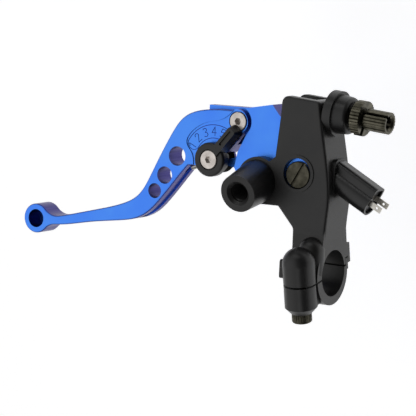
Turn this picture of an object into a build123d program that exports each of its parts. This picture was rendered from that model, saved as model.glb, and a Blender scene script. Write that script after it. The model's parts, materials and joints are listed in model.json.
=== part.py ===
"""Left-hand motorcycle clutch lever: a lever with six reach positions, on its handlebar perch.

Frame, in millimetres: the origin is the centre of the handlebar clamp's bore, +X runs along the
bar towards the middle of the motorcycle, +Y points forward, away from the rider, and +Z is up,
along the lever's pivot.
"""
from build123d import *
from math import atan2, cos, degrees, radians, sin, sqrt
import os

os.makedirs("parts", exist_ok=True)

# ------------------------------------------------------------------ driving dimensions
BAR_R = 11.1                 # bore for a 22.2 mm handlebar
CLAMP_W = 16.0               # clamp width along the bar
BORE_RELIEF = 0.6            # how far the perch beside the clamp stays off the bar
CLAMP_R = 15.5               # outside radius of the perch's half of the clamp
SPLIT_TILT = 12.5            # the clamp's joint face leans this much from vertical
SPLIT_GAP = 0.9              # gap between the clamp's halves
CLAMP_BOLT_S = 18.0          # clamp bolt's distance from the bar's axis
CLAMP_BOSS_R = 7.8
CLAMP_BOLT_R = 3.0           # M6

PERCH_Z = 11.0               # half thickness of the perch
SLOT_Z = 6.2                 # half height of the lever's slot
LEVER_Z = 6.0                # half thickness of the lever
RUN = 0.05                   # running clearance on the radius of a shaft
GAP = 0.2                    # face clearance between moving parts

PIVOT = (-8.0, 45.9)         # lever pivot
PIVOT_R = 4.0                # shoulder of the pivot bolt
HUB_R = 11.0                 # lever hub
HUB_POCKET_R = 13.4          # pocket in the perch around the hub and its switch lobe
RECESS_R = 7.3               # recess for the pivot bolt's head
RECESS_SHIFT = 0.7           # the recess is this far forward of the pivot
RIM_R = 8.75                 # raised rim around the recess
RECESS_FLOOR = 8.0

TURN = (-44.8, 67.8)         # the blade turns about this screw to set its reach
KNOB = (-57.5, 48.5)         # adjuster knob
TONGUE_Z = 2.4               # half thickness of the base's tongue
FORK_Z = 2.6                 # half height of the blade's fork
EYE_R = 5.6                  # blade's eye about its pivot
SCREW_HEAD_R = 4.6
SCREW_GAP = 0.45             # dark gap around a screw's head
HEX_R = 1.6                  # half of a hexagon socket's width across flats
SCREW_R = 2.5                # M5

DRUM_R = 7.0                 # round part of the adjuster's drum
CAM_R0 = 4.1                 # cam radius in position 6, nearest to the grip
KNOB_R = 8.3
KNOB_STEPS = 6
STEP_ANGLE = 21.0            # turn between two numbers
POINTER_ANGLE = 50.0         # direction of the pointer in position 6
DETENT_ANGLE = 200.0         # direction of the detent from the knob

TIP = (-160.6, 8.8)          # centre of the blade's ring end
TIP_R = 7.4
TIP_HOLE_R = 4.6

MIRROR_END = (-30.0, 36.2, 28.0)
MIRROR_LEAN = 14.0
MIRROR_THREAD_R = 4.5        # M10 thread, at its crest

CABLE_TILT = 5.0             # the cable adjuster leans this much towards the rider
CABLE_AT = (18.7, 74.5)      # middle of the adjuster's lock nut
CABLE_THREAD_R = 4.0         # M8

SWITCH_END = (27.2, 35.7)    # middle of the switch's rear face
SWITCH_TILT = -28.0
PLUNGER_OFFSET = -3.5        # plunger axis from the switch's middle, towards the rider
PLUNGER_R = 2.0
SWITCH_FACE_X = 9.4          # pad on the perch that the switch bears on

# ------------------------------------------------------------------ construction planes
split_dir = Vector(0, -sin(radians(SPLIT_TILT)), cos(radians(SPLIT_TILT)))
split_normal = Vector(0, cos(radians(SPLIT_TILT)), sin(radians(SPLIT_TILT)))
# local x runs along the bar, local y from the bar to the bolt, local z across the joint, to the perch
clamp_plane = Plane(origin=(0, 0, 0), x_dir=(1, 0, 0), z_dir=split_normal)
BOLT_Y = -CLAMP_BOLT_S if clamp_plane.y_dir.dot(split_dir) < 0 else CLAMP_BOLT_S
REAR = -1 if BOLT_Y > 0 else 1

mirror_axis = Vector(0, -sin(radians(MIRROR_LEAN)), cos(radians(MIRROR_LEAN)))
MIRROR_ROOT_Z = 7.0
mirror_length = (MIRROR_END[2] - MIRROR_ROOT_Z) / cos(radians(MIRROR_LEAN))
mirror_plane = Plane(
    origin=Vector(*MIRROR_END) - mirror_axis * mirror_length, x_dir=(1, 0, 0), z_dir=mirror_axis
)

cable_axis = Vector(cos(radians(CABLE_TILT)), -sin(radians(CABLE_TILT)), 0)
cable_plane = Plane(origin=(*CABLE_AT, 0), x_dir=(0, 0, 1), z_dir=cable_axis)
# local x runs along the adjuster, local y across it, towards the front
cable_side_plane = Plane(origin=(*CABLE_AT, 0), x_dir=cable_axis, z_dir=(0, 0, 1))

switch_axis = Vector(cos(radians(SWITCH_TILT)), sin(radians(SWITCH_TILT)), 0)
switch_side = Vector(-sin(radians(SWITCH_TILT)), cos(radians(SWITCH_TILT)), 0)
# local x runs across the switch, away from the rider, local z out through its rear face
switch_plane = Plane(origin=(*SWITCH_END, 0), x_dir=switch_side, z_dir=switch_axis)


def polar(centre, radius, angle):
    """The point at a radius and an angle in degrees about a centre."""
    return (centre[0] + radius * cos(radians(angle)), centre[1] + radius * sin(radians(angle)))


def along(plane, distance):
    """A plane moved along its own normal."""
    return plane.offset(distance)


# ------------------------------------------------------------------ perch
PERCH_LEFT = [(-9.2, 6.0), (-9.4, 20.6), (-18.4, 30.6), (-20.9, 52.0), (-19.0, 72.0), (-18.4, 82.9)]
PERCH_RIGHT = [
    (1.9, 81.3), (3.6, 70.6), (6.9, 54.5), (8.6, 44.0), (9.2, 34.1), (8.6, 26.0), (8.0, 16.0), (7.4, 6.0),
]
LOBE_R = 11.2
RECESS_AT = (PIVOT[0], PIVOT[1] + RECESS_SHIFT)
BOSS_ROOT_R = 10.6
BOSS_TAPER = 4.0
CABLE_BOSS_R = 9.8
CABLE_BOSS_TIP_R = 8.9
CABLE_BOSS_ROUND = 2.2       # rounding of the boss's end
CABLE_COLLAR_R = 10.8
CABLE_BOSS_START = -15.5     # along the cable adjuster's axis, inside the perch's wall
CABLE_BOSS_END = -4.3
FRONT_DOME = 9.3             # height of the clamp boss's cylinder above the joint
HUMP = (2.2, 11.5, 11.5)     # second, smaller dome between the clamp's boss and the flat body
HUMP_R = 6.2

with BuildPart() as perch_body:
    # the flat body that both ears are cut from
    with BuildSketch(Plane.XY.offset(-PERCH_Z)) as outline:
        with BuildLine():
            left = Polyline(*PERCH_LEFT)
            top = Line(PERCH_LEFT[-1], PERCH_RIGHT[0])
            right = Spline(*PERCH_RIGHT)
            foot = Line(PERCH_RIGHT[-1], PERCH_LEFT[0])
        make_face()
        fillet(outline.vertices().group_by(Axis.Y)[-1].sort_by(Axis.X)[0], 3.4)
        fillet(outline.vertices().sort_by_distance(PERCH_RIGHT[0])[0], 1.6)
        fillet(outline.vertices().sort_by_distance(PERCH_LEFT[3])[0], 14.0)
        for corner in PERCH_LEFT[1:3]:
            fillet(outline.vertices().sort_by_distance(corner)[0], 3.0)
    extrude(amount=2 * PERCH_Z)
    fillet(perch_body.faces().sort_by(Axis.Z)[-1].outer_wire().edges(), 1.3)
    fillet(perch_body.faces().sort_by(Axis.Z)[0].outer_wire().edges(), 1.3)
    # neck and the perch's half of the clamp
    with BuildSketch(Plane.YZ.offset(-CLAMP_W / 2)):
        Circle(CLAMP_R)
        Polygon((0, -14.6), (26, -9.5), (26, 9.5), (0, 14.6), align=None)
    extrude(amount=CLAMP_W)
    # clamp bolt's boss with its domed top
    with BuildSketch(along(clamp_plane, SPLIT_GAP / 2)):
        with Locations((0, BOLT_Y)):
            Circle(CLAMP_BOSS_R)
    extrude(amount=FRONT_DOME)
    with Locations(clamp_plane.from_local_coords((0, BOLT_Y, SPLIT_GAP / 2 + FRONT_DOME))):
        Sphere(CLAMP_BOSS_R)
    # web from the bolt's boss to the ring
    with BuildSketch(along(clamp_plane, SPLIT_GAP / 2)):
        Polygon((-6.5, 0), (6.5, 0), (6.5, BOLT_Y), (-6.5, BOLT_Y), align=None)
    extrude(amount=FRONT_DOME)
    # hump behind the boss
    with BuildSketch(Plane.XZ):
        with Locations((HUMP[0], HUMP[2])):
            Circle(HUMP_R)
    extrude(amount=-HUMP[1])
    with Locations(HUMP):
        Sphere(HUMP_R)
    # pad on the outer side of the boss
    with BuildSketch(Plane.YZ.offset(-9.8)):
        with Locations((2.2, 17.6)):
            RectangleRounded(9.0, 6.0, 1.4)
    extrude(amount=5.0)
    # rear lug that the cap hooks into
    with BuildSketch(along(clamp_plane, SPLIT_GAP / 2)):
        with Locations((0, REAR * 14.3)):
            Rectangle(CLAMP_W, 5.6)
    extrude(amount=9.6)
    # lobe and boss for the mirror
    with BuildSketch(Plane.XY.offset(SLOT_Z)):
        with Locations((-29.5, 41.4)):
            Circle(LOBE_R)
        Polygon((-30, 30.2), (-17, 30.4), (-17, 56), (-23.5, 50.9), align=None)
    extrude(amount=PERCH_Z - SLOT_Z)
    with BuildSketch(mirror_plane):
        Circle(BOSS_ROOT_R)
    extrude(amount=mirror_length, taper=BOSS_TAPER)
    # cable adjuster's boss
    with BuildSketch(cable_side_plane):
        with BuildLine():
            boss = Polyline(
                (CABLE_BOSS_END - CABLE_BOSS_ROUND, CABLE_BOSS_TIP_R), (CABLE_BOSS_START, CABLE_BOSS_R),
                (CABLE_BOSS_START, 0), (CABLE_BOSS_END, 0),
                (CABLE_BOSS_END, CABLE_BOSS_TIP_R - CABLE_BOSS_ROUND),
            )
            RadiusArc(boss @ 1, boss @ 0, -CABLE_BOSS_ROUND)
        make_face()
    revolve(axis=Axis(cable_side_plane.origin, cable_axis))
    with BuildSketch(along(cable_plane, CABLE_BOSS_START)):
        Circle(CABLE_COLLAR_R)
    extrude(amount=4.2)
    # pad that the switch bears on
    with BuildSketch(Plane.YZ.offset(4)):
        with Locations((45.2, 0)):
            RectangleRounded(18.4, 12.8, 4.0)
    extrude(amount=SWITCH_FACE_X - 4)
    # raised rim around the pivot bolt's recess
    with BuildSketch(Plane.XY.offset(PERCH_Z)):
        with Locations(RECESS_AT):
            Circle(RIM_R)
    extrude(amount=0.5)
    # everything below the clamp's joint face belongs to the cap
    with BuildSketch(along(clamp_plane, SPLIT_GAP / 2)):
        Rectangle(60, 80)
    extrude(amount=-60, mode=Mode.SUBTRACT)
    # slot for the lever, open to the left and to the front
    with BuildSketch(Plane.XY.offset(-SLOT_Z)):
        Polygon((-70, 34), (-8, 34), (2, 54.6), (-2.5, 66), (-2.5, 95), (-70, 95), align=None)
        with Locations(PIVOT):
            Circle(HUB_POCKET_R)
    extrude(amount=2 * SLOT_Z, mode=Mode.SUBTRACT)
    # handlebar bore
    with BuildSketch(Plane.YZ.offset(-CLAMP_W)):
        Circle(BAR_R)
    extrude(amount=2 * CLAMP_W, mode=Mode.SUBTRACT)
    # the bore's wall stops at the clamp's two faces
    for side in (-1, 1):
        with BuildSketch(Plane.YZ.offset(side * CLAMP_W / 2)):
            Circle(BAR_R + BORE_RELIEF)
        extrude(amount=side * CLAMP_W / 2, mode=Mode.SUBTRACT)
    # tapped hole for the clamp bolt, and the groove for the cap's hook
    with BuildSketch(clamp_plane):
        with Locations((0, BOLT_Y)):
            Circle(CLAMP_BOLT_R)
    extrude(amount=14.5, mode=Mode.SUBTRACT)
    with BuildSketch(clamp_plane):
        with Locations((0, REAR * 13.7)):
            Rectangle(CLAMP_W + 2, 2.4)
    extrude(amount=3.8, mode=Mode.SUBTRACT)
    # pivot bolt's recess and bore
    with BuildSketch(Plane.XY.offset(RECESS_FLOOR)):
        with Locations(RECESS_AT):
            Circle(RECESS_R)
    extrude(amount=PERCH_Z, mode=Mode.SUBTRACT)
    with BuildSketch(Plane.XY.offset(-SLOT_Z)):
        with Locations(PIVOT):
            Circle(PIVOT_R)
    extrude(amount=2 * PERCH_Z, mode=Mode.SUBTRACT)
    with BuildSketch(Plane.XY.offset(-2 * PERCH_Z)):
        with Locations(PIVOT):
            Circle(3.0)
    extrude(amount=2 * PERCH_Z, mode=Mode.SUBTRACT)
    # mirror thread, with its countersunk mouth
    with BuildSketch(along(mirror_plane, mirror_length)):
        Circle(MIRROR_THREAD_R)
    extrude(amount=-18.0, mode=Mode.SUBTRACT)
    with BuildSketch(along(mirror_plane, mirror_length)):
        Circle(MIRROR_THREAD_R + 1.5)
    extrude(amount=-1.5, taper=45, mode=Mode.SUBTRACT)
    # cable adjuster's thread
    with BuildSketch(cable_plane):
        Circle(CABLE_THREAD_R + RUN)
    extrude(amount=-30, mode=Mode.SUBTRACT)
    # switch spigot and its retaining screw
    with BuildSketch(along(switch_plane, -14)):
        with Locations((PLUNGER_OFFSET, 0)):
            Circle(3.5)
    extrude(amount=-14, mode=Mode.SUBTRACT)
    with BuildSketch(Plane.XY.offset(-3)):
        with Locations((6.6, 42.7)):
            Circle(1.5)
    extrude(amount=-PERCH_Z, mode=Mode.SUBTRACT)
perch_body.part.label = "perch_body"
export_step(perch_body.part, "parts/perch_body.step")

# ------------------------------------------------------------------ clamp cap and bolt
CAP_R = 14.5
CAP_BOSS_H = 11.0
CAP_TAPER_H = 3.0

with BuildPart() as clamp_cap:
    with BuildSketch(Plane.YZ.offset(-CLAMP_W / 2)):
        with Locations((-0.8, 0.6)):
            Circle(CAP_R)
    extrude(amount=CLAMP_W)
    with BuildSketch(along(clamp_plane, -SPLIT_GAP / 2)):
        with Locations((0, BOLT_Y)):
            Circle(CLAMP_BOSS_R)
        Polygon((-6.5, 0), (6.5, 0), (6.5, BOLT_Y), (-6.5, BOLT_Y), align=None)
    extrude(amount=-CAP_BOSS_H)
    with BuildSketch(along(clamp_plane, -SPLIT_GAP / 2 - CAP_BOSS_H)):
        with Locations((0, BOLT_Y)):
            Circle(CLAMP_BOSS_R)
    extrude(amount=-CAP_TAPER_H, taper=42)
    with BuildSketch(along(clamp_plane, -SPLIT_GAP / 2)):
        Rectangle(60, 80)
    extrude(amount=40, mode=Mode.SUBTRACT)
    # hook
    with BuildSketch(along(clamp_plane, -SPLIT_GAP / 2 - 2)):
        with Locations((0, REAR * 13.7)):
            Rectangle(CLAMP_W, 2.0)
    extrude(amount=5.6)
    with BuildSketch(Plane.YZ.offset(-CLAMP_W)):
        Circle(BAR_R)
    extrude(amount=2 * CLAMP_W, mode=Mode.SUBTRACT)
    with BuildSketch(clamp_plane):
        with Locations((0, BOLT_Y)):
            Circle(CLAMP_BOLT_R)
    extrude(amount=-30, mode=Mode.SUBTRACT)
clamp_cap.part.label = "clamp_cap"
export_step(clamp_cap.part, "parts/clamp_cap.step")

HEAD_SEAT = -SPLIT_GAP / 2 - CAP_BOSS_H - CAP_TAPER_H
BOLT_HEAD_R = 4.8
BOLT_HEAD_H = 4.6
BOLT_KNURLS = 28
with BuildPart() as clamp_bolt:
    with BuildSketch(along(clamp_plane, HEAD_SEAT)):
        with Locations((0, BOLT_Y)):
            Circle(CLAMP_BOLT_R)
    extrude(amount=-HEAD_SEAT + 12.0)
    with BuildSketch(along(clamp_plane, HEAD_SEAT)):
        with Locations((0, BOLT_Y)):
            Circle(BOLT_HEAD_R)
    extrude(amount=-BOLT_HEAD_H)
    fillet(clamp_bolt.edges().sort_by(Axis((0, 0, 0), split_normal))[0], 0.7)
    with BuildSketch(along(clamp_plane, HEAD_SEAT)):
        with Locations((0, BOLT_Y)):
            with PolarLocations(BOLT_HEAD_R + 0.15, BOLT_KNURLS):
                Rectangle(0.7, 0.5, rotation=45)
    extrude(amount=0.9 - BOLT_HEAD_H, mode=Mode.SUBTRACT)
    with BuildSketch(along(clamp_plane, HEAD_SEAT - BOLT_HEAD_H)):
        with Locations((0, BOLT_Y)):
            RegularPolygon(2.5, 6, major_radius=False)
    extrude(amount=2.6, mode=Mode.SUBTRACT)
clamp_bolt.part.label = "clamp_bolt"
export_step(clamp_bolt.part, "parts/clamp_bolt.step")

# ------------------------------------------------------------------ lever pivot
HEAD_Z0 = RECESS_FLOOR + 0.8
HEAD_Z1 = 10.7
HEAD_R = 6.5
NUT_H = 5.0

with BuildPart() as pivot_bolt:
    with BuildSketch(Plane.XY.offset(-PERCH_Z - NUT_H - 1.0)):
        with Locations(PIVOT):
            Circle(3.0)
    extrude(amount=PERCH_Z + NUT_H + 1.0)
    with BuildSketch(Plane.XY.offset(-SLOT_Z)):
        with Locations(PIVOT):
            Circle(PIVOT_R)
    extrude(amount=SLOT_Z + HEAD_Z0)
    with BuildSketch(Plane.XY.offset(HEAD_Z0)):
        with Locations(PIVOT):
            Circle(HEAD_R)
    extrude(amount=HEAD_Z1 - HEAD_Z0)
    chamfer(pivot_bolt.faces().sort_by(Axis.Z)[-1].outer_wire().edges(), 0.5)
    with BuildSketch(Plane.XY.offset(HEAD_Z1)):
        with Locations(Location((*PIVOT, 0), 60)):
            Rectangle(2 * HEAD_R + 1, 1.5)
    extrude(amount=-1.1, mode=Mode.SUBTRACT)
pivot_bolt.part.label = "pivot_bolt"
export_step(pivot_bolt.part, "parts/pivot_bolt.step")

with BuildPart() as pivot_washer:
    with BuildSketch(Plane.XY.offset(RECESS_FLOOR)):
        with Locations(RECESS_AT):
            Circle(RECESS_R - 0.1)
        with Locations(PIVOT):
            Circle(PIVOT_R + 0.1, mode=Mode.SUBTRACT)
    extrude(amount=0.8)
pivot_washer.part.label = "pivot_washer"
export_step(pivot_washer.part, "parts/pivot_washer.step")

with BuildPart() as pivot_nut:
    with BuildSketch(Plane.XY.offset(-PERCH_Z)):
        with Locations(PIVOT):
            RegularPolygon(5.0, 6, major_radius=False)
    extrude(amount=-NUT_H)
    chamfer(pivot_nut.faces().sort_by(Axis.Z)[0].outer_wire().edges(), 0.5)
    with BuildSketch(Plane.XY.offset(-PERCH_Z)):
        with Locations(PIVOT):
            Circle(3.0)
    extrude(amount=-NUT_H, mode=Mode.SUBTRACT)
pivot_nut.part.label = "pivot_nut"
export_step(pivot_nut.part, "parts/pivot_nut.step")

BUSH_R = 5.5
with BuildPart() as pivot_bush:
    with BuildSketch(Plane.XY.offset(-LEVER_Z)):
        with Locations(PIVOT):
            Circle(BUSH_R)
            Circle(PIVOT_R + RUN, mode=Mode.SUBTRACT)
    extrude(amount=2 * LEVER_Z)
pivot_bush.part.label = "pivot_bush"
export_step(pivot_bush.part, "parts/pivot_bush.step")

# ------------------------------------------------------------------ lever base
NIPPLE = (-27.5, 69.0)
NIPPLE_R = 4.1               # seat for an 8 mm barrel nipple
EYE_CLEAR = 2.1
LOBE_START = -6.7            # direction of the switch plunger's contact from the pivot
LOBE_RISE = 1.75
LEVER_SWING = 25.0
T_BUSH_R = 3.6

socket_r = EYE_R + EYE_CLEAR
socket_low = polar(TURN, socket_r, -25)
socket_mid = polar(TURN, socket_r, 15)
socket_high = (TURN[0] + sqrt(socket_r**2 - 6.7**2), TURN[1] + 6.7)

with BuildPart() as lever_base:
    with BuildSketch(Plane.XY.offset(-LEVER_Z)) as base_outline:
        with BuildLine():
            low = Polyline(
                (-3.4, 56), (-22, 72.7), (-26.1, 77.4), (-31.8, 76.3), socket_high
            )
            socket = ThreePointArc(socket_high, socket_mid, socket_low)
            side = Polyline(
                socket_low, (-40.0, 61.3), (-44.1, 53.1), (-45.6, 45.5), (-42.5, 40.5),
                (-34, 36.2), (-12, 35.6), PIVOT, (-3.4, 56)
            )
        make_face()
    extrude(amount=2 * LEVER_Z)
    # hub with the lobe that works the switch
    with BuildSketch(Plane.XY.offset(-LEVER_Z)):
        with Locations(PIVOT):
            Circle(HUB_R)
        with BuildLine():
            rise = Spline(
                *[
                    polar(PIVOT, HUB_R + LOBE_RISE * k / 5, LOBE_START + LEVER_SWING * k / 5)
                    for k in range(6)
                ]
            )
            fall = ThreePointArc(rise @ 1, polar(PIVOT, HUB_R + 1.3, 32), polar(PIVOT, HUB_R - 0.4, 46))
            back = Polyline(fall @ 1, polar(PIVOT, 3, 0), rise @ 0)
        make_face()
    extrude(amount=2 * LEVER_Z)
    # tongue: the blade's pivot eye, the tab above the blade and the nose against the cam
    with BuildSketch(Plane.XY.offset(-TONGUE_Z)):
        with Locations(TURN):
            Circle(EYE_R - 0.3)
        Polygon(
            (-63, 71.7), (-48, 71.7), (-44.8, 62.4), (-34, 58), (-34, 74.8), (-42.9, 74.6), (-63, 74.3),
            align=None
        )
    extrude(amount=2 * TONGUE_Z)
    with BuildSketch(Plane.XY.offset(-TONGUE_Z)):
        with BuildLine():
            nose_low = Line((-42, 44.6), (-51.5, 45.6))
            nose_tip = ThreePointArc((-51.5, 45.6), (KNOB[0] + CAM_R0 + 0.15, 47.1), (-51.5, 48.6))
            nose_high = Polyline((-51.5, 48.6), (-46, 50.6), (-42, 50.6), (-42, 44.6))
        make_face()
    extrude(amount=2 * TONGUE_Z)
    # bores
    with BuildSketch(Plane.XY.offset(-LEVER_Z)):
        with Locations(PIVOT):
            Circle(BUSH_R)
        with Locations(TURN):
            Circle(T_BUSH_R)
    extrude(amount=2 * LEVER_Z, mode=Mode.SUBTRACT)
    # blind seat for the cable's nipple, with the slit that the cable swings in
    with BuildSketch(Plane.XY.offset(-LEVER_Z)):
        with Locations(NIPPLE):
            Circle(NIPPLE_R)
    extrude(amount=9.5, mode=Mode.SUBTRACT)
    with BuildSketch(Plane.XY.offset(-LEVER_Z)):
        Polygon(
            NIPPLE, polar(NIPPLE, 14, 6), polar(NIPPLE, 14, 38), align=None
        )
    extrude(amount=LEVER_Z + 1.4, mode=Mode.SUBTRACT)
lever_base.part.label = "lever_base"
export_step(lever_base.part, "parts/lever_base.step")

with BuildPart() as blade_pivot_bush:
    with BuildSketch(Plane.XY.offset(-TONGUE_Z)):
        with Locations(TURN):
            Circle(T_BUSH_R)
            Circle(SCREW_R + RUN, mode=Mode.SUBTRACT)
    extrude(amount=2 * TONGUE_Z)
blade_pivot_bush.part.label = "blade_pivot_bush"
export_step(blade_pivot_bush.part, "parts/blade_pivot_bush.step")

# ------------------------------------------------------------------ blade
BLADE_UPPER = [
    (-154.5, 10.0), (-144.6, 11.9), (-127.8, 16.2), (-110.1, 21.3), (-100.3, 26.6), (-93.4, 36.9),
    (-87.9, 47.8), (-82.6, 57.6), (-75.0, 67.6), (-61.1, 72.3), (-48.8, 72.8),
]
BLADE_LOWER = [
    (-154.5, 6.6), (-143.2, 7.4), (-127.5, 10.4), (-109.7, 13.1), (-100.3, 15.3), (-94.0, 18.8),
    (-87.9, 24.8), (-81.3, 32.8), (-71.8, 44.3),
]
COUNTERBORE_Z = 4.2          # floor of the pivot screw's counterbore
BLADE_HOLES = [(-78.1, 48.1, 4.75), (-84.8, 38.1, 4.27), (-90.2, 29.9, 3.69)]
FLOOR_Z = -3.1               # floor under the adjuster's drum
SLOT_END_X = -66.5
EDGE = 0.7                   # rounding of the blade's outer edges
NECK_R = 9.0                 # flare from the neck into the ring end
TIP_FLOOR = -3.5             # the ring end's hole is blind

DIAL_DEPTH = 0.45            # shallow recess that holds the dial and the pivot screw
DIAL_Z = LEVER_Z - DIAL_DEPTH
DIAL_EDGE = [
    (-46.5, 74.5), (-48.2, 72.2), (-50.0, 70.5), (-52.4, 68.8), (-57.0, 67.2), (-61.0, 66.4),
    (-65.5, 64.5), (-69.5, 61.7), (-72.2, 58.5), (-73.1, 55.6), (-72.0, 53.0), (-70.1, 50.7),
    (-69.0, 47.8), (-68.8, 44.0),
]
LINE_W = 0.34                # width of an engraved line
LINE_DEPTH = 0.3
BAND_OUT = 16.6              # radii and ends of the engraved band around the numbers
BAND_IN = 10.2
BAND_START = 28.0
BAND_END = 152.0
NUMBER_R = 13.5
NUMBER_H = 2.1               # half height of a number
NUMBERS = [
    [(-0.45, 0.55), (0.05, 1.0), (0.05, -1.0)],
    [(-0.5, 0.55), (-0.35, 0.9), (0.0, 1.0), (0.4, 0.85), (0.48, 0.4), (-0.5, -1.0), (0.55, -1.0)],
    [
        (-0.48, 0.8), (0.0, 1.0), (0.42, 0.78), (0.38, 0.28), (-0.1, 0.08), (0.42, -0.2), (0.48, -0.7),
        (0.05, -1.0), (-0.5, -0.8),
    ],
    [(0.25, -1.0), (0.25, 1.0), (-0.55, -0.35), (0.6, -0.35)],
    [(0.48, 1.0), (-0.38, 1.0), (-0.46, 0.15), (0.1, 0.3), (0.5, -0.1), (0.42, -0.75), (0.0, -1.0), (-0.48, -0.8)],
    [
        (0.42, 0.85), (0.05, 1.0), (-0.38, 0.6), (-0.5, -0.3), (-0.3, -0.85), (0.1, -1.0), (0.45, -0.7),
        (0.42, -0.15), (0.05, 0.1), (-0.42, -0.1),
    ],
]


def on_dial(angle, across, up):
    """A point of the dial, measured across and outward from the place of the number at an angle."""
    outward = polar(KNOB, NUMBER_R + up, angle)
    return (outward[0] + across * sin(radians(angle)), outward[1] - across * cos(radians(angle)))


with BuildPart() as lever_blade:
    with BuildSketch(Plane.XY.offset(-LEVER_Z)) as blade_outline:
        with BuildLine():
            crown = Spline(*BLADE_UPPER)
            eye = ThreePointArc(BLADE_UPPER[-1], polar(TURN, EYE_R, 70), polar(TURN, EYE_R, -25))
            flank = Polyline(
                polar(TURN, EYE_R, -25), (-41.6, 62.6), (-44.6, 58.4), (-49.8, 52.6), KNOB,
                (-60, 44.9), (-66.5, 44.7), BLADE_LOWER[-1]
            )
            belly = Spline(*BLADE_LOWER)
            end = Line(BLADE_LOWER[0], BLADE_UPPER[0])
        make_face()
        with Locations(TIP):
            Circle(TIP_R)
        for corner in (BLADE_UPPER[0], BLADE_LOWER[0]):
            fillet(blade_outline.vertices().sort_by_distance(corner)[0], NECK_R)
    extrude(amount=2 * LEVER_Z)
    fillet(lever_blade.faces().sort_by(Axis.Z)[-1].outer_wire().edges(), EDGE)
    fillet(lever_blade.faces().sort_by(Axis.Z)[0].outer_wire().edges(), EDGE)
    # floor under the adjuster's drum
    with BuildSketch(Plane.XY.offset(-LEVER_Z)):
        with Locations(KNOB):
            Circle(6.0)
    extrude(amount=LEVER_Z + FLOOR_Z)
    # finger side groove
    with BuildSketch(Plane.XY.offset(-TONGUE_Z)):
        with BuildLine():
            outer = Spline(*[(x + 1.5, y - 1.5) for x, y in BLADE_LOWER[4:]])
            inner = Spline(*[(x - 0.6, y + 0.6) for x, y in BLADE_LOWER[4:]])
            Line(outer @ 0, inner @ 0)
            Line(outer @ 1, inner @ 1)
        make_face()
    extrude(amount=2 * TONGUE_Z, mode=Mode.SUBTRACT)
    # knob screw's thread, and the detent's bore through to the lower edge
    with BuildSketch(Plane.XY.offset(-LEVER_Z)):
        with Locations(KNOB):
            Circle(2.0)
    extrude(amount=LEVER_Z, mode=Mode.SUBTRACT)
    detent_dir = Vector(cos(radians(DETENT_ANGLE)), sin(radians(DETENT_ANGLE)), 0)
    detent_plane = Plane(origin=(*KNOB, 0), x_dir=(0, 0, 1), z_dir=detent_dir)
    with BuildSketch(detent_plane):
        Circle(1.6)
    extrude(amount=22, mode=Mode.SUBTRACT)
    # drum's pocket
    with BuildSketch(Plane.XY.offset(FLOOR_Z)):
        with Locations(KNOB):
            Circle(DRUM_R + 0.3)
    extrude(amount=LEVER_Z - FLOOR_Z, mode=Mode.SUBTRACT)
    # fork for the base's tongue
    with BuildSketch(Plane.XY.offset(-FORK_Z)):
        Polygon((SLOT_END_X, 56.3), (-30, 56.3), (-30, 80), (SLOT_END_X, 80), align=None)
    extrude(amount=2 * FORK_Z, mode=Mode.SUBTRACT)
    # lightening holes and the ring end's hole
    with BuildSketch(Plane.XY.offset(-LEVER_Z)):
        for x, y, r in BLADE_HOLES:
            with Locations((x, y)):
                Circle(r)
    extrude(amount=2 * LEVER_Z, mode=Mode.SUBTRACT)
    with BuildSketch(Plane.XY.offset(TIP_FLOOR)):
        with Locations(TIP):
            Circle(TIP_HOLE_R)
    extrude(amount=2 * LEVER_Z, mode=Mode.SUBTRACT)
    # recess for the dial
    with BuildSketch(Plane.XY.offset(DIAL_Z)):
        with BuildLine():
            edge = Spline(*DIAL_EDGE)
            Polyline(edge @ 1, (-60, 38), (-34, 50), (-34, 76), edge @ 0)
        make_face()
    extrude(amount=LEVER_Z, mode=Mode.SUBTRACT)
    # the dial's band and numbers
    with BuildSketch(Plane.XY.offset(DIAL_Z - LINE_DEPTH)):
        with BuildLine():
            CenterArc(KNOB, BAND_OUT, BAND_START, BAND_END - BAND_START)
            ThreePointArc(
                polar(KNOB, BAND_OUT, BAND_END),
                polar(KNOB, (BAND_OUT + BAND_IN) / 2, BAND_END + 11),
                polar(KNOB, BAND_IN, BAND_END),
            )
            CenterArc(KNOB, BAND_IN, BAND_START, BAND_END - BAND_START)
        trace(line_width=LINE_W)
    extrude(amount=LEVER_Z, mode=Mode.SUBTRACT)
    for number, stroke in enumerate(NUMBERS):
        at = POINTER_ANGLE + STEP_ANGLE * (KNOB_STEPS - 1 - number)
        points = [Vector(*on_dial(at, NUMBER_H * across, NUMBER_H * up)) for across, up in stroke]
        with BuildSketch(Plane.XY.offset(DIAL_Z - LINE_DEPTH)):
            for start, end in zip(points, points[1:]):
                run = end - start
                middle = (start + end) / 2
                with Locations(Location((middle.X, middle.Y, 0), degrees(atan2(run.Y, run.X)))):
                    SlotCenterToCenter(run.length, LINE_W)
        extrude(amount=LEVER_Z, mode=Mode.SUBTRACT)
    # counterbored hole for the pivot screw
    with BuildSketch(Plane.XY.offset(-LEVER_Z)):
        with Locations(TURN):
            Circle(SCREW_R)
    extrude(amount=2 * LEVER_Z, mode=Mode.SUBTRACT)
    with BuildSketch(Plane.XY.offset(COUNTERBORE_Z)):
        with Locations(TURN):
            Circle(SCREW_HEAD_R + SCREW_GAP)
    extrude(amount=LEVER_Z, mode=Mode.SUBTRACT)
lever_blade.part.label = "lever_blade"
export_step(lever_blade.part, "parts/lever_blade.step")


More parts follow.
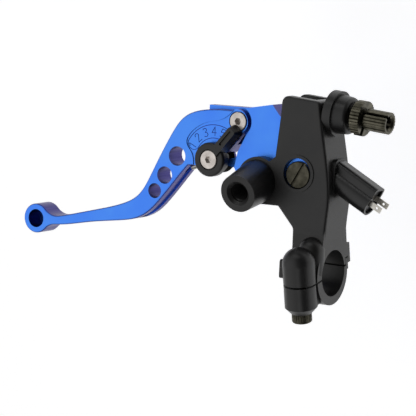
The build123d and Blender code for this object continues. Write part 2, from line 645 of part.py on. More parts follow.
# ------------------------------------------------------------------ blade pivot screw
BLADE_HEAD_TOP = LEVER_Z - 0.1
with BuildPart() as blade_pivot_screw:
    with BuildSketch(Plane.XY.offset(-LEVER_Z + 0.3)):
        with Locations(TURN):
            Circle(SCREW_R)
    extrude(amount=LEVER_Z - 0.3 + COUNTERBORE_Z)
    with BuildSketch(Plane.XY.offset(COUNTERBORE_Z)):
        with Locations(TURN):
            Circle(SCREW_HEAD_R)
    extrude(amount=BLADE_HEAD_TOP - COUNTERBORE_Z)
    chamfer(blade_pivot_screw.faces().sort_by(Axis.Z)[-1].outer_wire().edges(), 0.25)
    with BuildSketch(Plane.XY.offset(BLADE_HEAD_TOP)):
        with Locations(TURN):
            RegularPolygon(HEX_R, 6, major_radius=False)
    extrude(amount=-2.4, mode=Mode.SUBTRACT)
blade_pivot_screw.part.label = "blade_pivot_screw"
export_step(blade_pivot_screw.part, "parts/blade_pivot_screw.step")

# ------------------------------------------------------------------ adjuster knob
DISC_Z0 = LEVER_Z + GAP
DISC_Z1 = 10.4
POINTER_TOP = 11.6
POINTER_REACH = 21.2
POINTER_W = 6.6
POINTER_SLOPE = 12.0
CAM_LOW = -2.7
CAM_HIGH = 2.7
CAM_TURN = STEP_ANGLE * (KNOB_STEPS - 1)
NOSE_ANGLE = -16.0
BALL_R = 1.5
BALL_AT = DRUM_R + 1.05

with BuildPart() as adjuster_knob:
    with BuildSketch(Plane.XY.offset(FLOOR_Z + 0.1)):
        with Locations(KNOB):
            Circle(DRUM_R)
    extrude(amount=DISC_Z0 - FLOOR_Z - 0.1)
    # the cam: a recess round the drum's middle whose floor rises from number 6 to number 1
    with BuildSketch(Plane.XY.offset(CAM_LOW)):
        with BuildLine():
            cam = Spline(
                *[
                    polar(
                        KNOB,
                        CAM_R0 + (DRUM_R - CAM_R0) * k / 6,
                        NOSE_ANGLE - CAM_TURN * k / 6,
                    )
                    for k in range(7)
                ]
            )
            Line(cam @ 1, polar(KNOB, DRUM_R + 2, NOSE_ANGLE - CAM_TURN))
            ThreePointArc(
                polar(KNOB, DRUM_R + 2, NOSE_ANGLE - CAM_TURN),
                polar(KNOB, DRUM_R + 2, NOSE_ANGLE - CAM_TURN / 2),
                polar(KNOB, DRUM_R + 2, NOSE_ANGLE + 60),
            )
            Line(polar(KNOB, DRUM_R + 2, NOSE_ANGLE + 60), polar(KNOB, CAM_R0, NOSE_ANGLE + 50))
            ThreePointArc(
                polar(KNOB, CAM_R0, NOSE_ANGLE + 50), polar(KNOB, CAM_R0, NOSE_ANGLE + 25), cam @ 0
            )
        make_face()
    extrude(amount=CAM_HIGH - CAM_LOW, mode=Mode.SUBTRACT)
    # ball track and its six dimples
    with BuildSketch(Plane.XZ.offset(-KNOB[1])):
        with Locations((KNOB[0] + BALL_AT, 0)):
            Circle(BALL_R + 0.1)
    revolve(axis=Axis((*KNOB, 0), (0, 0, 1)), mode=Mode.SUBTRACT)
    with Locations([(*polar(KNOB, BALL_AT - 0.25, DETENT_ANGLE - STEP_ANGLE * k), 0) for k in range(6)]):
        Sphere(BALL_R + 0.1, mode=Mode.SUBTRACT)
    # disc
    with BuildSketch(Plane.XY.offset(DISC_Z0)):
        with Locations(KNOB):
            Circle(KNOB_R)
    extrude(amount=DISC_Z1 - DISC_Z0)
    fillet(adjuster_knob.faces().sort_by(Axis.Z)[-1].outer_wire().edges(), 1.3)
    # pointer with its groove
    with BuildSketch(Plane.XY.offset(DISC_Z0 + 0.1)):
        with Locations(Location((*polar(KNOB, POINTER_REACH / 2, POINTER_ANGLE), 0), POINTER_ANGLE)):
            RectangleRounded(POINTER_REACH, POINTER_W, 1.8)
    extrude(amount=POINTER_TOP - DISC_Z0 - 0.1, taper=POINTER_SLOPE)
    with BuildSketch(Plane.XY.offset(POINTER_TOP)):
        with Locations(Location((*polar(KNOB, 14.6, POINTER_ANGLE), 0), POINTER_ANGLE)):
            SlotOverall(9.2, 1.3)
    extrude(amount=-0.9, mode=Mode.SUBTRACT)
    # clear the screw and its head
    with BuildSketch(Plane.XY.offset(DISC_Z1 - 1.6)):
        with Locations(KNOB):
            Circle(SCREW_HEAD_R + SCREW_GAP)
    extrude(amount=6, mode=Mode.SUBTRACT)
    with BuildSketch(Plane.XY.offset(FLOOR_Z)):
        with Locations(KNOB):
            Circle(2.0 + RUN)
    extrude(amount=16, mode=Mode.SUBTRACT)
adjuster_knob.part.label = "adjuster_knob"
export_step(adjuster_knob.part, "parts/adjuster_knob.step")

with BuildPart() as knob_screw:
    with BuildSketch(Plane.XY.offset(-LEVER_Z + 0.2)):
        with Locations(KNOB):
            Circle(2.0)
    extrude(amount=LEVER_Z + DISC_Z1 - 1.6)
    with BuildSketch(Plane.XY.offset(DISC_Z1 - 1.5)):
        with Locations(KNOB):
            Circle(SCREW_HEAD_R)
    extrude(amount=1.8)
    chamfer(knob_screw.faces().sort_by(Axis.Z)[-1].outer_wire().edges(), 0.3)
    with BuildSketch(Plane.XY.offset(DISC_Z1 + 0.3)):
        with Locations(KNOB):
            RegularPolygon(HEX_R, 6, major_radius=False)
    extrude(amount=-1.7, mode=Mode.SUBTRACT)
knob_screw.part.label = "knob_screw"
export_step(knob_screw.part, "parts/knob_screw.step")

# ------------------------------------------------------------------ detent
SPRING_LENGTH = 3.6
SPRING_END = BALL_AT + BALL_R + SPRING_LENGTH
PLUG_END = SPRING_END + 3.0
with BuildPart() as detent_ball:
    with Locations((*polar(KNOB, BALL_AT, DETENT_ANGLE), 0)):
        Sphere(BALL_R)
detent_ball.part.label = "detent_ball"
export_step(detent_ball.part, "parts/detent_ball.step")

WIRE_R = 0.25
SPRING_START = BALL_AT + BALL_R
with BuildPart() as detent_spring:
    with BuildLine():
        coil = Helix(
            pitch=1.0,
            height=SPRING_LENGTH - 2 * WIRE_R,
            radius=1.2,
            center=along(detent_plane, SPRING_START + WIRE_R).origin,
            direction=detent_dir,
        )
    with BuildSketch(Plane(origin=coil @ 0, z_dir=coil % 0)):
        Circle(WIRE_R)
    sweep(path=coil, is_frenet=True)
detent_spring.part.label = "detent_spring"
export_step(detent_spring.part, "parts/detent_spring.step")

with BuildPart() as detent_plug:
    with BuildSketch(along(detent_plane, SPRING_END)):
        Circle(1.6)
    extrude(amount=PLUG_END - SPRING_END)
    with BuildSketch(along(detent_plane, PLUG_END)):
        RegularPolygon(0.75, 6, major_radius=False)
    extrude(amount=-1.2, mode=Mode.SUBTRACT)
detent_plug.part.label = "detent_plug"
export_step(detent_plug.part, "parts/detent_plug.step")

# ------------------------------------------------------------------ cable adjuster
NUT_R = 8.3
NUT_HALF = 2.25
KNURL_COUNT = 32
BARREL_R = 5.2
BARREL_START = 3.6           # along the axis, from the middle of the lock nut
BARREL_END = 15.0
SHANK_START = -19.5
HOUSING_R = 3.0              # seat for the cable's 6 mm ferrule
CABLE_R = 1.3
NUT_SLIT_ANGLE = 68.0
BARREL_SLIT_ANGLE = -40.0

with BuildPart() as adjuster_lock_nut:
    with BuildSketch(along(cable_plane, -NUT_HALF)):
        Circle(NUT_R)
        with PolarLocations(NUT_R + 0.25, KNURL_COUNT):
            Rectangle(1.1, 0.75, rotation=45, mode=Mode.SUBTRACT)
        Circle(CABLE_THREAD_R + RUN, mode=Mode.SUBTRACT)
        with Locations(Location((0, 0, 0), NUT_SLIT_ANGLE - 90)):
            with Locations((0, NUT_R / 2 + 1)):
                Rectangle(2.6, NUT_R + 2, mode=Mode.SUBTRACT)
    extrude(amount=2 * NUT_HALF)
adjuster_lock_nut.part.label = "adjuster_lock_nut"
export_step(adjuster_lock_nut.part, "parts/adjuster_lock_nut.step")

with BuildPart() as cable_adjuster_barrel:
    with BuildSketch(along(cable_plane, SHANK_START)):
        Circle(CABLE_THREAD_R)
    extrude(amount=BARREL_START - SHANK_START)
    with BuildSketch(along(cable_plane, BARREL_START)):
        Circle(BARREL_R)
        with PolarLocations(BARREL_R + 0.2, 22):
            Rectangle(0.9, 0.6, rotation=45, mode=Mode.SUBTRACT)
    extrude(amount=BARREL_END - BARREL_START)
    with BuildSketch(along(cable_plane, BARREL_END)):
        Circle(HOUSING_R + 1.0)
    extrude(amount=-1.2, taper=40, mode=Mode.SUBTRACT)
    with BuildSketch(along(cable_plane, BARREL_END)):
        Circle(HOUSING_R)
    extrude(amount=-9.0, mode=Mode.SUBTRACT)
    with BuildSketch(along(cable_plane, SHANK_START)):
        Circle(CABLE_R)
        with Locations(Location((0, 0, 0), BARREL_SLIT_ANGLE)):
            with Locations((BARREL_R / 2 + 1, 0)):
                Rectangle(BARREL_R + 2, 1.6)
    extrude(amount=BARREL_END - SHANK_START + 1, mode=Mode.SUBTRACT)
cable_adjuster_barrel.part.label = "cable_adjuster_barrel"
export_step(cable_adjuster_barrel.part, "parts/cable_adjuster_barrel.step")

# ------------------------------------------------------------------ clutch switch
SWITCH_LENGTH = 26.0
ROUND_R = 5.7
RIM = 1.1
CAVITY_R = 3.9
CAVITY_DEPTH = 15.5
BLOCK_BACK = -1.2
BLOCK_FRONT = -4.4

with BuildPart() as switch_body:
    with BuildSketch(switch_plane) as switch_section:
        with Locations((-1.5, 0)):
            Circle(ROUND_R)
        with Locations((3.0, -0.6)):
            RectangleRounded(8.8, 9.0, 2.2)
    extrude(amount=-SWITCH_LENGTH)
    # flat front face on the perch's pad
    with BuildSketch(Plane.YZ.offset(SWITCH_FACE_X)):
        with Locations((45, 0)):
            Rectangle(60, 40)
    extrude(amount=-20, mode=Mode.SUBTRACT)
    # spigot in the perch's wall
    with BuildSketch(along(switch_plane, -20)):
        with Locations((PLUNGER_OFFSET, 0)):
            Circle(3.5 - 0.05)
    extrude(amount=-3.2)
    # recess in the rear face, cavity, and the plunger's bore
    with BuildSketch(switch_plane):
        with Locations((-1.5, 0)):
            Circle(ROUND_R - RIM)
        with Locations((3.0, -0.6)):
            RectangleRounded(8.8 - 2 * RIM, 9.0 - 2 * RIM, 1.2)
    extrude(amount=BLOCK_FRONT, mode=Mode.SUBTRACT)
    with BuildSketch(switch_plane):
        with Locations((PLUNGER_OFFSET + 1.1, 0)):
            Circle(CAVITY_R)
    extrude(amount=-CAVITY_DEPTH, mode=Mode.SUBTRACT)
    with BuildSketch(along(switch_plane, -CAVITY_DEPTH)):
        with Locations((PLUNGER_OFFSET, 0)):
            Circle(PLUNGER_R + 0.06)
    extrude(amount=-15, mode=Mode.SUBTRACT)
switch_body.part.label = "switch_body"
export_step(switch_body.part, "parts/switch_body.step")

TERMINALS = [("switch_terminal_upper", -0.4, 2.5), ("switch_terminal_lower", 1.4, -2.7)]
BLADE_T = 0.6
BLADE_W = 2.8
with BuildPart() as switch_end_block:
    with BuildSketch(along(switch_plane, BLOCK_BACK)):
        with Locations((-1.5, 0)):
            Circle(ROUND_R - RIM)
        with Locations((3.0, -0.6)):
            RectangleRounded(8.8 - 2 * RIM, 9.0 - 2 * RIM, 1.2)
        for name, across, up in TERMINALS:
            with Locations((across, up)):
                Rectangle(BLADE_W, BLADE_T, mode=Mode.SUBTRACT)
    extrude(amount=BLOCK_FRONT - BLOCK_BACK)
switch_end_block.part.label = "switch_end_block"
export_step(switch_end_block.part, "parts/switch_end_block.step")

for name, across, up in TERMINALS:
    with BuildPart() as terminal:
        with BuildSketch(along(switch_plane, BLOCK_FRONT)):
            with Locations((across, up)):
                Rectangle(BLADE_W, BLADE_T)
        extrude(amount=6.4 - BLOCK_FRONT)
        tab_plane = Plane(
            origin=switch_plane.from_local_coords((across, up, 0)), x_dir=switch_axis, z_dir=(0, 0, 1)
        )
        with BuildSketch(along(tab_plane, -BLADE_T)):
            with Locations((3.9, 0)):
                Circle(0.6)
        extrude(amount=2 * BLADE_T, mode=Mode.SUBTRACT)
    terminal.part.label = name
    export_step(terminal.part, f"parts/{name}.step")

FLANGE_AT = -13.5
with BuildPart() as switch_plunger:
    plunger_plane = Plane(
        origin=switch_plane.from_local_coords((PLUNGER_OFFSET, 0, 0)), x_dir=switch_side, z_dir=switch_axis
    )
    foot = (Vector(*PIVOT, 0) - plunger_plane.origin).dot(switch_axis)
    miss = abs((Vector(*PIVOT, 0) - plunger_plane.origin).dot(switch_side))
    tip_at = foot + sqrt((HUB_R + 0.15 + PLUNGER_R) ** 2 - miss**2)
    with BuildSketch(along(plunger_plane, tip_at)):
        Circle(PLUNGER_R)
    extrude(amount=FLANGE_AT - tip_at)
    with Locations(plunger_plane.from_local_coords((0, 0, tip_at))):
        Sphere(PLUNGER_R)
    with BuildSketch(along(plunger_plane, FLANGE_AT)):
        Circle(PLUNGER_R + 0.6)
    extrude(amount=-1.4)
    with BuildSketch(along(plunger_plane, FLANGE_AT)):
        Circle(1.0)
    extrude(amount=3.0)
switch_plunger.part.label = "switch_plunger"
export_step(switch_plunger.part, "parts/switch_plunger.step")
SWITCH_WIRE_R = 0.25
with BuildPart() as switch_spring:
    with BuildLine():
        switch_coil = Helix(
            pitch=1.3,
            height=BLOCK_FRONT - FLANGE_AT - 2 * SWITCH_WIRE_R,
            radius=1.6,
            center=along(plunger_plane, FLANGE_AT + SWITCH_WIRE_R).origin,
            direction=switch_axis,
        )
    with BuildSketch(Plane(origin=switch_coil @ 0, z_dir=switch_coil % 0)):
        Circle(SWITCH_WIRE_R)
    sweep(path=switch_coil, is_frenet=True)
switch_spring.part.label = "switch_spring"
export_step(switch_spring.part, "parts/switch_spring.step")

with BuildPart() as switch_retaining_screw:
    with BuildSketch(Plane.XY.offset(-PERCH_Z + 0.3)):
        with Locations((6.6, 42.7)):
            Circle(1.5)
    extrude(amount=7.1)
    with BuildSketch(Plane.XY.offset(-PERCH_Z + 0.3)):
        with Locations((6.6, 42.7)):
            RegularPolygon(0.75, 6, major_radius=False)
    extrude(amount=1.5, mode=Mode.SUBTRACT)
switch_retaining_screw.part.label = "switch_retaining_screw"
export_step(switch_retaining_screw.part, "parts/switch_retaining_screw.step")
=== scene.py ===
"""Looks for the clutch lever: camera, studio and finishes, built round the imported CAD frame."""
import json
from math import cos, pi, radians, sin

import bpy
from mathutils import Matrix, Vector


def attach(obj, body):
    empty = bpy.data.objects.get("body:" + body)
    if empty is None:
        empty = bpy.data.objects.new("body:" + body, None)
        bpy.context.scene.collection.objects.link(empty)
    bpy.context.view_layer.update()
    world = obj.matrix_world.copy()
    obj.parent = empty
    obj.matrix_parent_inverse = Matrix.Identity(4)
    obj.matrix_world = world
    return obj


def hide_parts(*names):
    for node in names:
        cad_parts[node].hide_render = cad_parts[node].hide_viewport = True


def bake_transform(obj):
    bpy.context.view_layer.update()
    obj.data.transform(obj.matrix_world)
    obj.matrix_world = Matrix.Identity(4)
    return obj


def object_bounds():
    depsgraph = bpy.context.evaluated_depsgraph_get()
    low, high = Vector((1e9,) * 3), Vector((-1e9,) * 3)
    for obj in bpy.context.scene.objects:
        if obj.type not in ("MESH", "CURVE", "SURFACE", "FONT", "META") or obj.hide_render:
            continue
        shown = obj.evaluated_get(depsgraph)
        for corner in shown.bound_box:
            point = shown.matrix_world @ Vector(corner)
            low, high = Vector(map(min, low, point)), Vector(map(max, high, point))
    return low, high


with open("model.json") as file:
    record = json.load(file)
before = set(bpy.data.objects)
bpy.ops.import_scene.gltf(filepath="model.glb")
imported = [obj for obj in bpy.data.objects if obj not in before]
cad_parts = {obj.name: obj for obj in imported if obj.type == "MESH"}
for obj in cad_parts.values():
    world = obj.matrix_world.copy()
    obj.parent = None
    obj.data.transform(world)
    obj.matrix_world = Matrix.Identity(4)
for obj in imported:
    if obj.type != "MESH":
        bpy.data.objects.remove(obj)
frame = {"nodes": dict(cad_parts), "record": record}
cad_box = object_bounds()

MM = 0.001

# ------------------------------------------------------------------ camera and studio
CAMERA_AT = Vector((0.5374, 0.1691, 0.9915))
CAMERA_RIGHT = Vector((0.8516, 0.0456, -0.5222))
CAMERA_UP = Vector((-0.1037, 0.9912, -0.0826))
CAMERA_LENS = 207.7

KEY_DIRECTION = (-0.56, -0.12, 0.82)     # where the surroundings are brightest
WORLD_DARK = (0.035, 0.035, 0.037)
WORLD_BRIGHT = (0.95, 0.95, 0.95)
WORLD_STEPS = ((0.30, 0.06), (0.55, 0.22), (0.78, 0.72))
FLOOR_DROP = 0.12
FLOOR_GLOW = 0.53
FLOOR_HALF = 12.0

# Each softbox: its place, its size and its power. All face the same point.
SOFTBOX_AIM = (-0.06, 0.04, 0.0)
SOFTBOXES = {
    "front_strip": ((-0.10, 0.95, 0.60), (0.9, 0.16), 1.2),
    "rear_strip": ((0.30, -0.70, 0.75), (0.30, 0.10), 0.8),
}

# The two threads, in metres: the mirror's tapped hole and the cable adjuster's shank.
MIRROR_MOUTH = Vector((-30.0, 36.2, 28.0)) * MM
MIRROR_AXIS = Vector((0.0, -sin(radians(14.0)), cos(radians(14.0))))
MIRROR_THREAD_R = 4.5 * MM
ADJUSTER_AT = Vector((18.7, 74.5, 0.0)) * MM
ADJUSTER_AXIS = Vector((cos(radians(5.0)), -sin(radians(5.0)), 0.0))
ADJUSTER_SHANK_R = 4.0 * MM
THREAD_PITCH = 1.25 * MM
THREAD_DEPTH = 0.42 * MM
THREAD_ROOT = 0.05 * MM                  # how far a turn's foot is sunk in the wall
THREAD_FLANK = 0.9                       # a turn's width, as a share of the pitch
THREAD_START = 2.2 * MM                  # below the hole's mouth
THREAD_TURNS = 10
THREAD_STEPS = 48                        # to one turn
THREAD_BUMP = 0.12 * MM                  # the bump's height on the adjuster's shank

# The switch's spring: its two ends on the plunger's axis, and its coil.
SPRING_PERCH_END = Vector((21.6719, 34.6754, 0.0)) * MM
SPRING_PLUNGER_END = Vector((13.6371, 38.9475, 0.0)) * MM
SPRING_R = 1.6 * MM
SPRING_WIRE_R = 0.25 * MM
SPRING_PITCH = 1.3 * MM
SPRING_STEPS = 36                        # to one turn
SPRING_RING = 10                         # points round the wire

# The band of heights that holds the dial's engraved lines; the blue finish paints shade in this band.
ENGRAVED_FLOOR = 5.2 * MM
ENGRAVED_TOP = 5.5 * MM
ENGRAVED_FADE = 0.02 * MM


def add_camera():
    """The camera at the photograph's viewing angle."""
    right = CAMERA_RIGHT.normalized()
    back = right.cross(CAMERA_UP).normalized()
    up = back.cross(right)
    data = bpy.data.cameras.new("camera")
    data.lens = CAMERA_LENS
    data.sensor_width = 36.0
    data.clip_start = 0.01
    data.clip_end = 100.0
    camera = bpy.data.objects.new("camera", data)
    camera.matrix_world = Matrix.Translation(CAMERA_AT) @ Matrix((right, up, back)).transposed().to_4x4()
    bpy.context.scene.collection.objects.link(camera)
    bpy.context.scene.camera = camera


def add_softbox(name, at, size, power):
    """A rectangular area light that faces the object."""
    data = bpy.data.lights.new(name, "AREA")
    data.shape = "RECTANGLE"
    data.size, data.size_y = size
    data.energy = power
    light = bpy.data.objects.new(name, data)
    light.location = at
    light.rotation_euler = (Vector(at) - Vector(SOFTBOX_AIM)).to_track_quat("Z", "Y").to_euler()
    bpy.context.scene.collection.objects.link(light)


def add_world():
    """Soft surroundings: bright overhead and to the left, dark to the right, plain white to the camera."""
    world = bpy.data.worlds.new("studio")
    bpy.context.scene.world = world
    world.use_nodes = True
    tree = world.node_tree
    background = tree.nodes["Background"]
    coords = tree.nodes.new("ShaderNodeTexCoord")
    toward_light = tree.nodes.new("ShaderNodeVectorMath")
    toward_light.operation = "DOT_PRODUCT"
    toward_light.inputs[1].default_value = KEY_DIRECTION
    shades = tree.nodes.new("ShaderNodeValToRGB")
    stops = shades.color_ramp.elements
    stops[0].position = 0.0
    stops[0].color = (*WORLD_DARK, 1)
    stops[1].position = 1.0
    stops[1].color = (*WORLD_BRIGHT, 1)
    for position, value in WORLD_STEPS:
        stops.new(position).color = (value, value, value, 1)
    path = tree.nodes.new("ShaderNodeLightPath")
    seen = tree.nodes.new("ShaderNodeMix")
    seen.data_type = "RGBA"
    seen.inputs[7].default_value = (1, 1, 1, 1)
    tree.links.new(coords.outputs["Generated"], toward_light.inputs[0])
    tree.links.new(toward_light.outputs["Value"], shades.inputs["Fac"])
    tree.links.new(path.outputs["Is Camera Ray"], seen.inputs["Factor"])
    tree.links.new(shades.outputs["Color"], seen.inputs[6])
    tree.links.new(seen.outputs[2], background.inputs["Color"])


def add_floor():
    """A plain pale floor, some way below the part."""
    low = cad_box[0]
    mesh = bpy.data.meshes.new("floor")
    z = low[2] - FLOOR_DROP
    corners = [(x * FLOOR_HALF, y * FLOOR_HALF, z) for x, y in ((-1, -1), (1, -1), (1, 1), (-1, 1))]
    mesh.from_pydata(corners, [], [(0, 1, 2, 3)])
    floor = bpy.data.objects.new("floor", mesh)
    bpy.context.scene.collection.objects.link(floor)
    mat = bpy.data.materials.new("floor_paper")
    mat.use_nodes = True
    shader = mat.node_tree.nodes["Principled BSDF"]
    shader.inputs["Base Color"].default_value = (0.93, 0.93, 0.93, 1)
    shader.inputs["Roughness"].default_value = 0.9
    shader.inputs["Specular IOR Level"].default_value = 0.1
    shader.inputs["Emission Color"].default_value = (1, 1, 1, 1)
    shader.inputs["Emission Strength"].default_value = FLOOR_GLOW
    mesh.materials.append(mat)


# ------------------------------------------------------------------ finishes
class Finish:
    """A node-based material, with short helpers for the nodes that the finishes share."""

    def __init__(self, name, colour, metallic, roughness):
        self.material = bpy.data.materials.new(name)
        self.material.use_nodes = True
        self.tree = self.material.node_tree
        self.shader = self.tree.nodes["Principled BSDF"]
        self.set("Metallic", metallic)
        self.set("Roughness", roughness)
        self.set("Base Color", (*colour, 1))
        self.coords = self.node("ShaderNodeTexCoord").outputs["Object"]
        self.height = None

    def set(self, socket, value):
        """Sets a constant on the shader's own socket."""
        self.shader.inputs[socket].default_value = value

    def node(self, kind, **settings):
        made = self.tree.nodes.new(kind)
        for key, value in settings.items():
            setattr(made, key, value)
        return made

    def link(self, out, into):
        self.tree.links.new(out, into)

    def colour(self, socket):
        """Takes the surface's colour from a socket."""
        self.link(socket, self.shader.inputs["Base Color"])

    def vary_roughness(self, grain, roughness, spread):
        """Roughness that follows the grain, either side of a middle value."""
        varied = self.remap(grain, 0.3, 0.7, roughness - spread, roughness + spread)
        self.link(varied, self.shader.inputs["Roughness"])

    def noise(self, scale, detail=3.0, stretch=None):
        """Noise at a scale in cycles per metre; stretch multiplies the scale along each axis."""
        texture = self.node("ShaderNodeTexNoise")
        texture.inputs["Scale"].default_value = scale
        texture.inputs["Detail"].default_value = detail
        vector = self.coords
        if stretch:
            mapping = self.node("ShaderNodeMapping")
            mapping.inputs["Scale"].default_value = stretch
            self.link(vector, mapping.inputs["Vector"])
            vector = mapping.outputs["Vector"]
        self.link(vector, texture.inputs["Vector"])
        return texture.outputs["Fac"]

    def remap(self, value, low, high, to_low, to_high):
        """A value's range [low, high] mapped to [to_low, to_high], clamped."""
        ramp = self.node("ShaderNodeMapRange")
        for socket, number in zip(("From Min", "From Max", "To Min", "To Max"), (low, high, to_low, to_high)):
            ramp.inputs[socket].default_value = number
        self.link(value, ramp.inputs["Value"])
        return ramp.outputs["Result"]

    def mix(self, factor, first, second):
        """Two colours, or a colour and a socket, blended by a factor."""
        blend = self.node("ShaderNodeMix", data_type="RGBA")
        self.link(factor, blend.inputs["Factor"])
        for socket, value in ((blend.inputs[6], first), (blend.inputs[7], second)):
            if isinstance(value, tuple):
                socket.default_value = (*value, 1)
            else:
                self.link(value, socket)
        return blend.outputs[2]

    def math(self, operation, *values):
        """A math node on sockets and numbers."""
        made = self.node("ShaderNodeMath", operation=operation)
        for socket, value in zip(made.inputs, values):
            if isinstance(value, float):
                socket.default_value = value
            else:
                self.link(value, socket)
        return made.outputs[0]

    def bump(self, value, distance):
        """Adds a height in metres to the surface."""
        bump = self.node("ShaderNodeBump")
        bump.inputs["Distance"].default_value = distance
        self.link(value, bump.inputs["Height"])
        if self.height:
            self.link(self.height, bump.inputs["Normal"])
        self.height = bump.outputs["Normal"]
        self.link(self.height, self.shader.inputs["Normal"])

    def edge_wear(self, radius, low, high):
        """How sharp the surface's convex edges are, from 0 on a face to 1 on an edge."""
        bevel = self.node("ShaderNodeBevel", samples=6)
        bevel.inputs["Radius"].default_value = radius
        geometry = self.node("ShaderNodeNewGeometry")
        dot = self.node("ShaderNodeVectorMath", operation="DOT_PRODUCT")
        self.link(bevel.outputs["Normal"], dot.inputs[0])
        self.link(geometry.outputs["Normal"], dot.inputs[1])
        return self.remap(dot.outputs["Value"], high, low, 0.0, 1.0)


def blue_anodised(name):
    """Blue anodised aluminium with blasted flats and machined walls: by the normal's direction, the flats are
    painted light as if lit and the walls painted in darker shade.
    """
    finish = Finish(name, (0.04, 0.20, 0.95), 1.0, 0.36)
    geometry = finish.node("ShaderNodeNewGeometry")
    split = finish.node("ShaderNodeSeparateXYZ")
    finish.link(geometry.outputs["Normal"], split.inputs[0])
    # painted light and shade: faces that point up or down take the lit colour, walls the shaded one
    lit_flat_mask = finish.remap(finish.math("ABSOLUTE", split.outputs["Z"]), 0.55, 0.995, 0.0, 1.0)
    cloud = finish.remap(finish.noise(60.0, 2.0), 0.35, 0.65, 0.0, 1.0)
    painted_lit_flat = finish.mix(cloud, (0.070, 0.262, 1.0), (0.082, 0.300, 1.0))
    streaks = finish.remap(finish.noise(900.0, 2.0, (1.0, 1.0, 0.05)), 0.35, 0.65, 0.0, 1.0)
    # painted shade on the walls, with faint machining streaks in it
    painted_shaded_wall = finish.mix(streaks, (0.032, 0.027, 0.165), (0.052, 0.043, 0.220))
    height = finish.node("ShaderNodeSeparateXYZ")
    finish.link(finish.coords, height.inputs[0])
    z = height.outputs["Z"]
    # painted shade in the engraved grooves: a mask of the band of heights that they sink to
    below_dial = finish.remap(z, ENGRAVED_TOP - ENGRAVED_FADE, ENGRAVED_TOP, 1.0, 0.0)
    above_floor = finish.remap(z, ENGRAVED_FLOOR - ENGRAVED_FADE, ENGRAVED_FLOOR, 0.0, 1.0)
    engraved_groove_shade = finish.math("MULTIPLY", below_dial, above_floor)
    # painted lit flats and painted shaded walls, blended by the normal's direction
    faces = finish.mix(lit_flat_mask, painted_shaded_wall, painted_lit_flat)
    # the grooves painted a darker blue as shade
    finish.colour(finish.mix(engraved_groove_shade, faces, (0.028, 0.05, 0.34)))
    grain = finish.noise(5500.0, 2.0)
    finish.vary_roughness(grain, 0.37, 0.07)
    finish.bump(grain, 0.000006)
    finish.set("Coat Weight", 0.12)
    finish.set("Coat Roughness", 0.25)
    return finish.material


def black_coat(name, roughness, grain_scale, depth):
    """Satin black paint on a casting, a little rubbed along its edges."""
    finish = Finish(name, (0.014, 0.014, 0.014), 0.0, roughness)
    grain = finish.noise(grain_scale, 3.0)
    patch = finish.noise(90.0, 2.0)
    cloud = finish.remap(patch, 0.35, 0.65, 0.0, 1.0)
    paint = finish.mix(cloud, (0.0045, 0.0045, 0.005), (0.0085, 0.008, 0.0075))
    edges = finish.edge_wear(0.25 * MM, 0.86, 0.99)
    rubbing = finish.remap(finish.noise(420.0), 0.45, 0.62, 0.1, 1.0)
    rubbed = finish.math("MULTIPLY", edges, rubbing)
    finish.colour(finish.mix(rubbed, paint, (0.030, 0.029, 0.027)))
    finish.vary_roughness(grain, roughness, 0.07)
    finish.bump(grain, depth)
    finish.set("Specular IOR Level", 0.5)
    return finish.material


def metal(name, dark, light, roughness, grain_scale, depth):
    """Bare or plated metal whose colour and roughness vary with a fine grain."""
    finish = Finish(name, light, 1.0, roughness)
    grain = finish.noise(grain_scale, 3.0)
    patch = finish.noise(300.0, 2.0)
    finish.colour(finish.mix(finish.remap(patch, 0.3, 0.7, 0.0, 1.0), dark, light))
    finish.vary_roughness(grain, roughness, 0.08)
    finish.bump(grain, depth)
    return finish


def plastic(name, dark, light, roughness):
    """Moulded plastic with a faint texture."""
    finish = Finish(name, light, 0.0, roughness)
    grain = finish.noise(2600.0, 3.0)
    patch = finish.noise(160.0, 2.0)
    finish.colour(finish.mix(finish.remap(patch, 0.3, 0.7, 0.0, 1.0), dark, light))
    finish.vary_roughness(grain, roughness, 0.06)
    finish.bump(grain, 0.000012)
    return finish.material


def threaded_metal(name, dark, light, roughness, grain_scale, depth):
    """Plated metal with the look of a helical thread on the adjuster's plain shank."""
    finish = metal(name, dark, light, roughness, grain_scale, depth)
    shifted = finish.node("ShaderNodeVectorMath", operation="SUBTRACT")
    shifted.inputs[1].default_value = ADJUSTER_AT
    finish.link(finish.coords, shifted.inputs[0])
    up = Vector((0, 0, 1))
    parts = []
    for direction in (ADJUSTER_AXIS, ADJUSTER_AXIS.cross(up), up):
        along = finish.node("ShaderNodeVectorMath", operation="DOT_PRODUCT")
        along.inputs[1].default_value = direction
        finish.link(shifted.outputs[0], along.inputs[0])
        parts.append(along.outputs["Value"])
    turn = finish.math("ARCTAN2", parts[1], parts[2])
    wave = finish.math("SINE", finish.math("MULTIPLY_ADD", parts[0], 2 * pi / THREAD_PITCH, turn))
    squares = [finish.math("MULTIPLY", part, part) for part in parts[1:]]
    radius = finish.math("SQRT", finish.math("ADD", *squares))
    off_wall = finish.math("ABSOLUTE", finish.math("SUBTRACT", radius, ADJUSTER_SHANK_R))
    on_shank = finish.remap(off_wall, 0.04 * MM, 0.10 * MM, 1.0, 0.0)
    finish.bump(finish.math("MULTIPLY", wave, on_shank), THREAD_BUMP)
    return finish


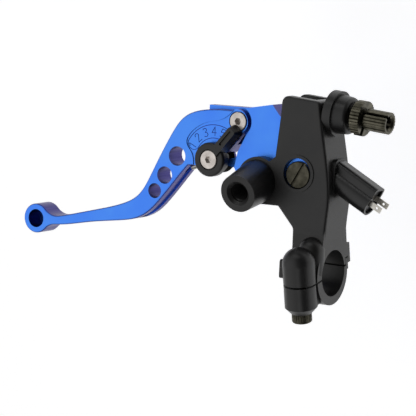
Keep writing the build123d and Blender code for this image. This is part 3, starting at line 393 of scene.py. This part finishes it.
# Each bare metal: its darker and lighter colours, roughness, grain scale and grain depth.
METALS = {
    "screw_steel": (metal, (0.50, 0.455, 0.42), (0.70, 0.65, 0.61), 0.26, 4000.0, 0.000002),
    "bolt_zinc": (metal, (0.040, 0.038, 0.028), (0.105, 0.098, 0.074), 0.36, 3000.0, 0.000006),
    "adjuster_zinc": (threaded_metal, (0.058, 0.055, 0.040), (0.13, 0.122, 0.092), 0.34, 3000.0, 0.000006),
    "bush_bronze": (metal, (0.42, 0.25, 0.10), (0.62, 0.40, 0.17), 0.35, 2500.0, 0.000004),
    "spring_steel": (metal, (0.30, 0.29, 0.28), (0.46, 0.45, 0.44), 0.28, 3000.0, 0.000002),
    "terminal_tin": (metal, (0.48, 0.46, 0.42), (0.68, 0.66, 0.61), 0.33, 1800.0, 0.000006),
}
FINISHES = {
    "perch_black": black_coat("perch_black_coat", 0.40, 3200.0, 0.00002),
    "lever_blue": blue_anodised("blue_anodised"),
    "knob_black": black_coat("knob_black_coat", 0.36, 4500.0, 0.000008),
    "switch_black": plastic("switch_black", (0.0045, 0.0045, 0.005), (0.009, 0.009, 0.009), 0.34),
    "plunger_plastic": plastic("plunger_plastic", (0.05, 0.05, 0.05), (0.08, 0.08, 0.08), 0.40),
}
for slot_name, (make, *settings) in METALS.items():
    FINISHES[slot_name] = make(slot_name, *settings).material


def dress_nodes():
    """Gives each CAD node the finish of the record's material slot that it is in."""
    for part in frame["record"]["subparts"]:
        materials = frame["nodes"][part["node"]].data.materials
        materials.clear()
        materials.append(FINISHES[part["material_slot"]])


def swept_piece(name, rings, finish):
    """A closed tube through rings of points, with its finish."""
    count = len(rings[0])
    faces = []
    for step in range(len(rings) - 1):
        near = step * count
        far = near + count
        for corner in range(count):
            following = (corner + 1) % count
            faces.append((near + corner, near + following, far + following, far + corner))
    faces.append(tuple(range(count)))
    faces.append(tuple(range(len(rings) * count - 1, (len(rings) - 1) * count - 1, -1)))
    mesh = bpy.data.meshes.new(name)
    mesh.from_pydata([point for ring in rings for point in ring], [], faces)
    mesh.materials.append(FINISHES[finish])
    piece = bpy.data.objects.new(name, mesh)
    bpy.context.scene.collection.objects.link(piece)
    return piece


def add_mirror_thread():
    """Thread turns inside the mirror's tapped hole."""
    across = Vector((1, 0, 0))
    up = MIRROR_AXIS.cross(across)
    profile = ((THREAD_ROOT, -0.5), (-THREAD_DEPTH, 0.0), (THREAD_ROOT, 0.5))
    rings = []
    for step in range(THREAD_STEPS * THREAD_TURNS + 1):
        turn = step / THREAD_STEPS
        spoke = across * cos(2 * pi * turn) + up * sin(2 * pi * turn)
        centre = MIRROR_MOUTH - MIRROR_AXIS * (THREAD_START + THREAD_PITCH * turn)
        rings.append([
            centre + spoke * (MIRROR_THREAD_R + out) + MIRROR_AXIS * (shift * THREAD_PITCH * THREAD_FLANK)
            for out, shift in profile
        ])
    turns_piece = swept_piece("mirror_thread_turns", rings, "perch_black")
    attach(turns_piece, "perch")


def add_switch_spring():
    """The switch's spring, as one fixed coil between its two ends; the real spring shortens as the plunger
    comes in.
    """
    axis = (SPRING_PERCH_END - SPRING_PLUNGER_END).normalized()
    length = (SPRING_PERCH_END - SPRING_PLUNGER_END).length - 2 * SPRING_WIRE_R
    across = axis.cross(Vector((0, 0, 1))).normalized()
    up = axis.cross(across)
    start = SPRING_PLUNGER_END + axis * SPRING_WIRE_R
    rings = []
    for step in range(int(SPRING_STEPS * length / SPRING_PITCH) + 1):
        turn = step / SPRING_STEPS
        spoke = across * cos(2 * pi * turn) + up * sin(2 * pi * turn)
        centre = start + axis * (SPRING_PITCH * turn) + spoke * SPRING_R
        angles = [2 * pi * corner / SPRING_RING for corner in range(SPRING_RING)]
        rings.append([centre + (spoke * cos(angle) + axis * sin(angle)) * SPRING_WIRE_R for angle in angles])
    coil = swept_piece("switch_spring_coil", rings, "spring_steel")
    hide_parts("switch_spring")
    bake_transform(coil)


add_camera()
add_world()
add_floor()
for box_name, (at, size, power) in SOFTBOXES.items():
    add_softbox(box_name, at, size, power)
dress_nodes()
add_mirror_thread()
add_switch_spring()
bpy.context.scene.view_settings.view_transform = "Standard"
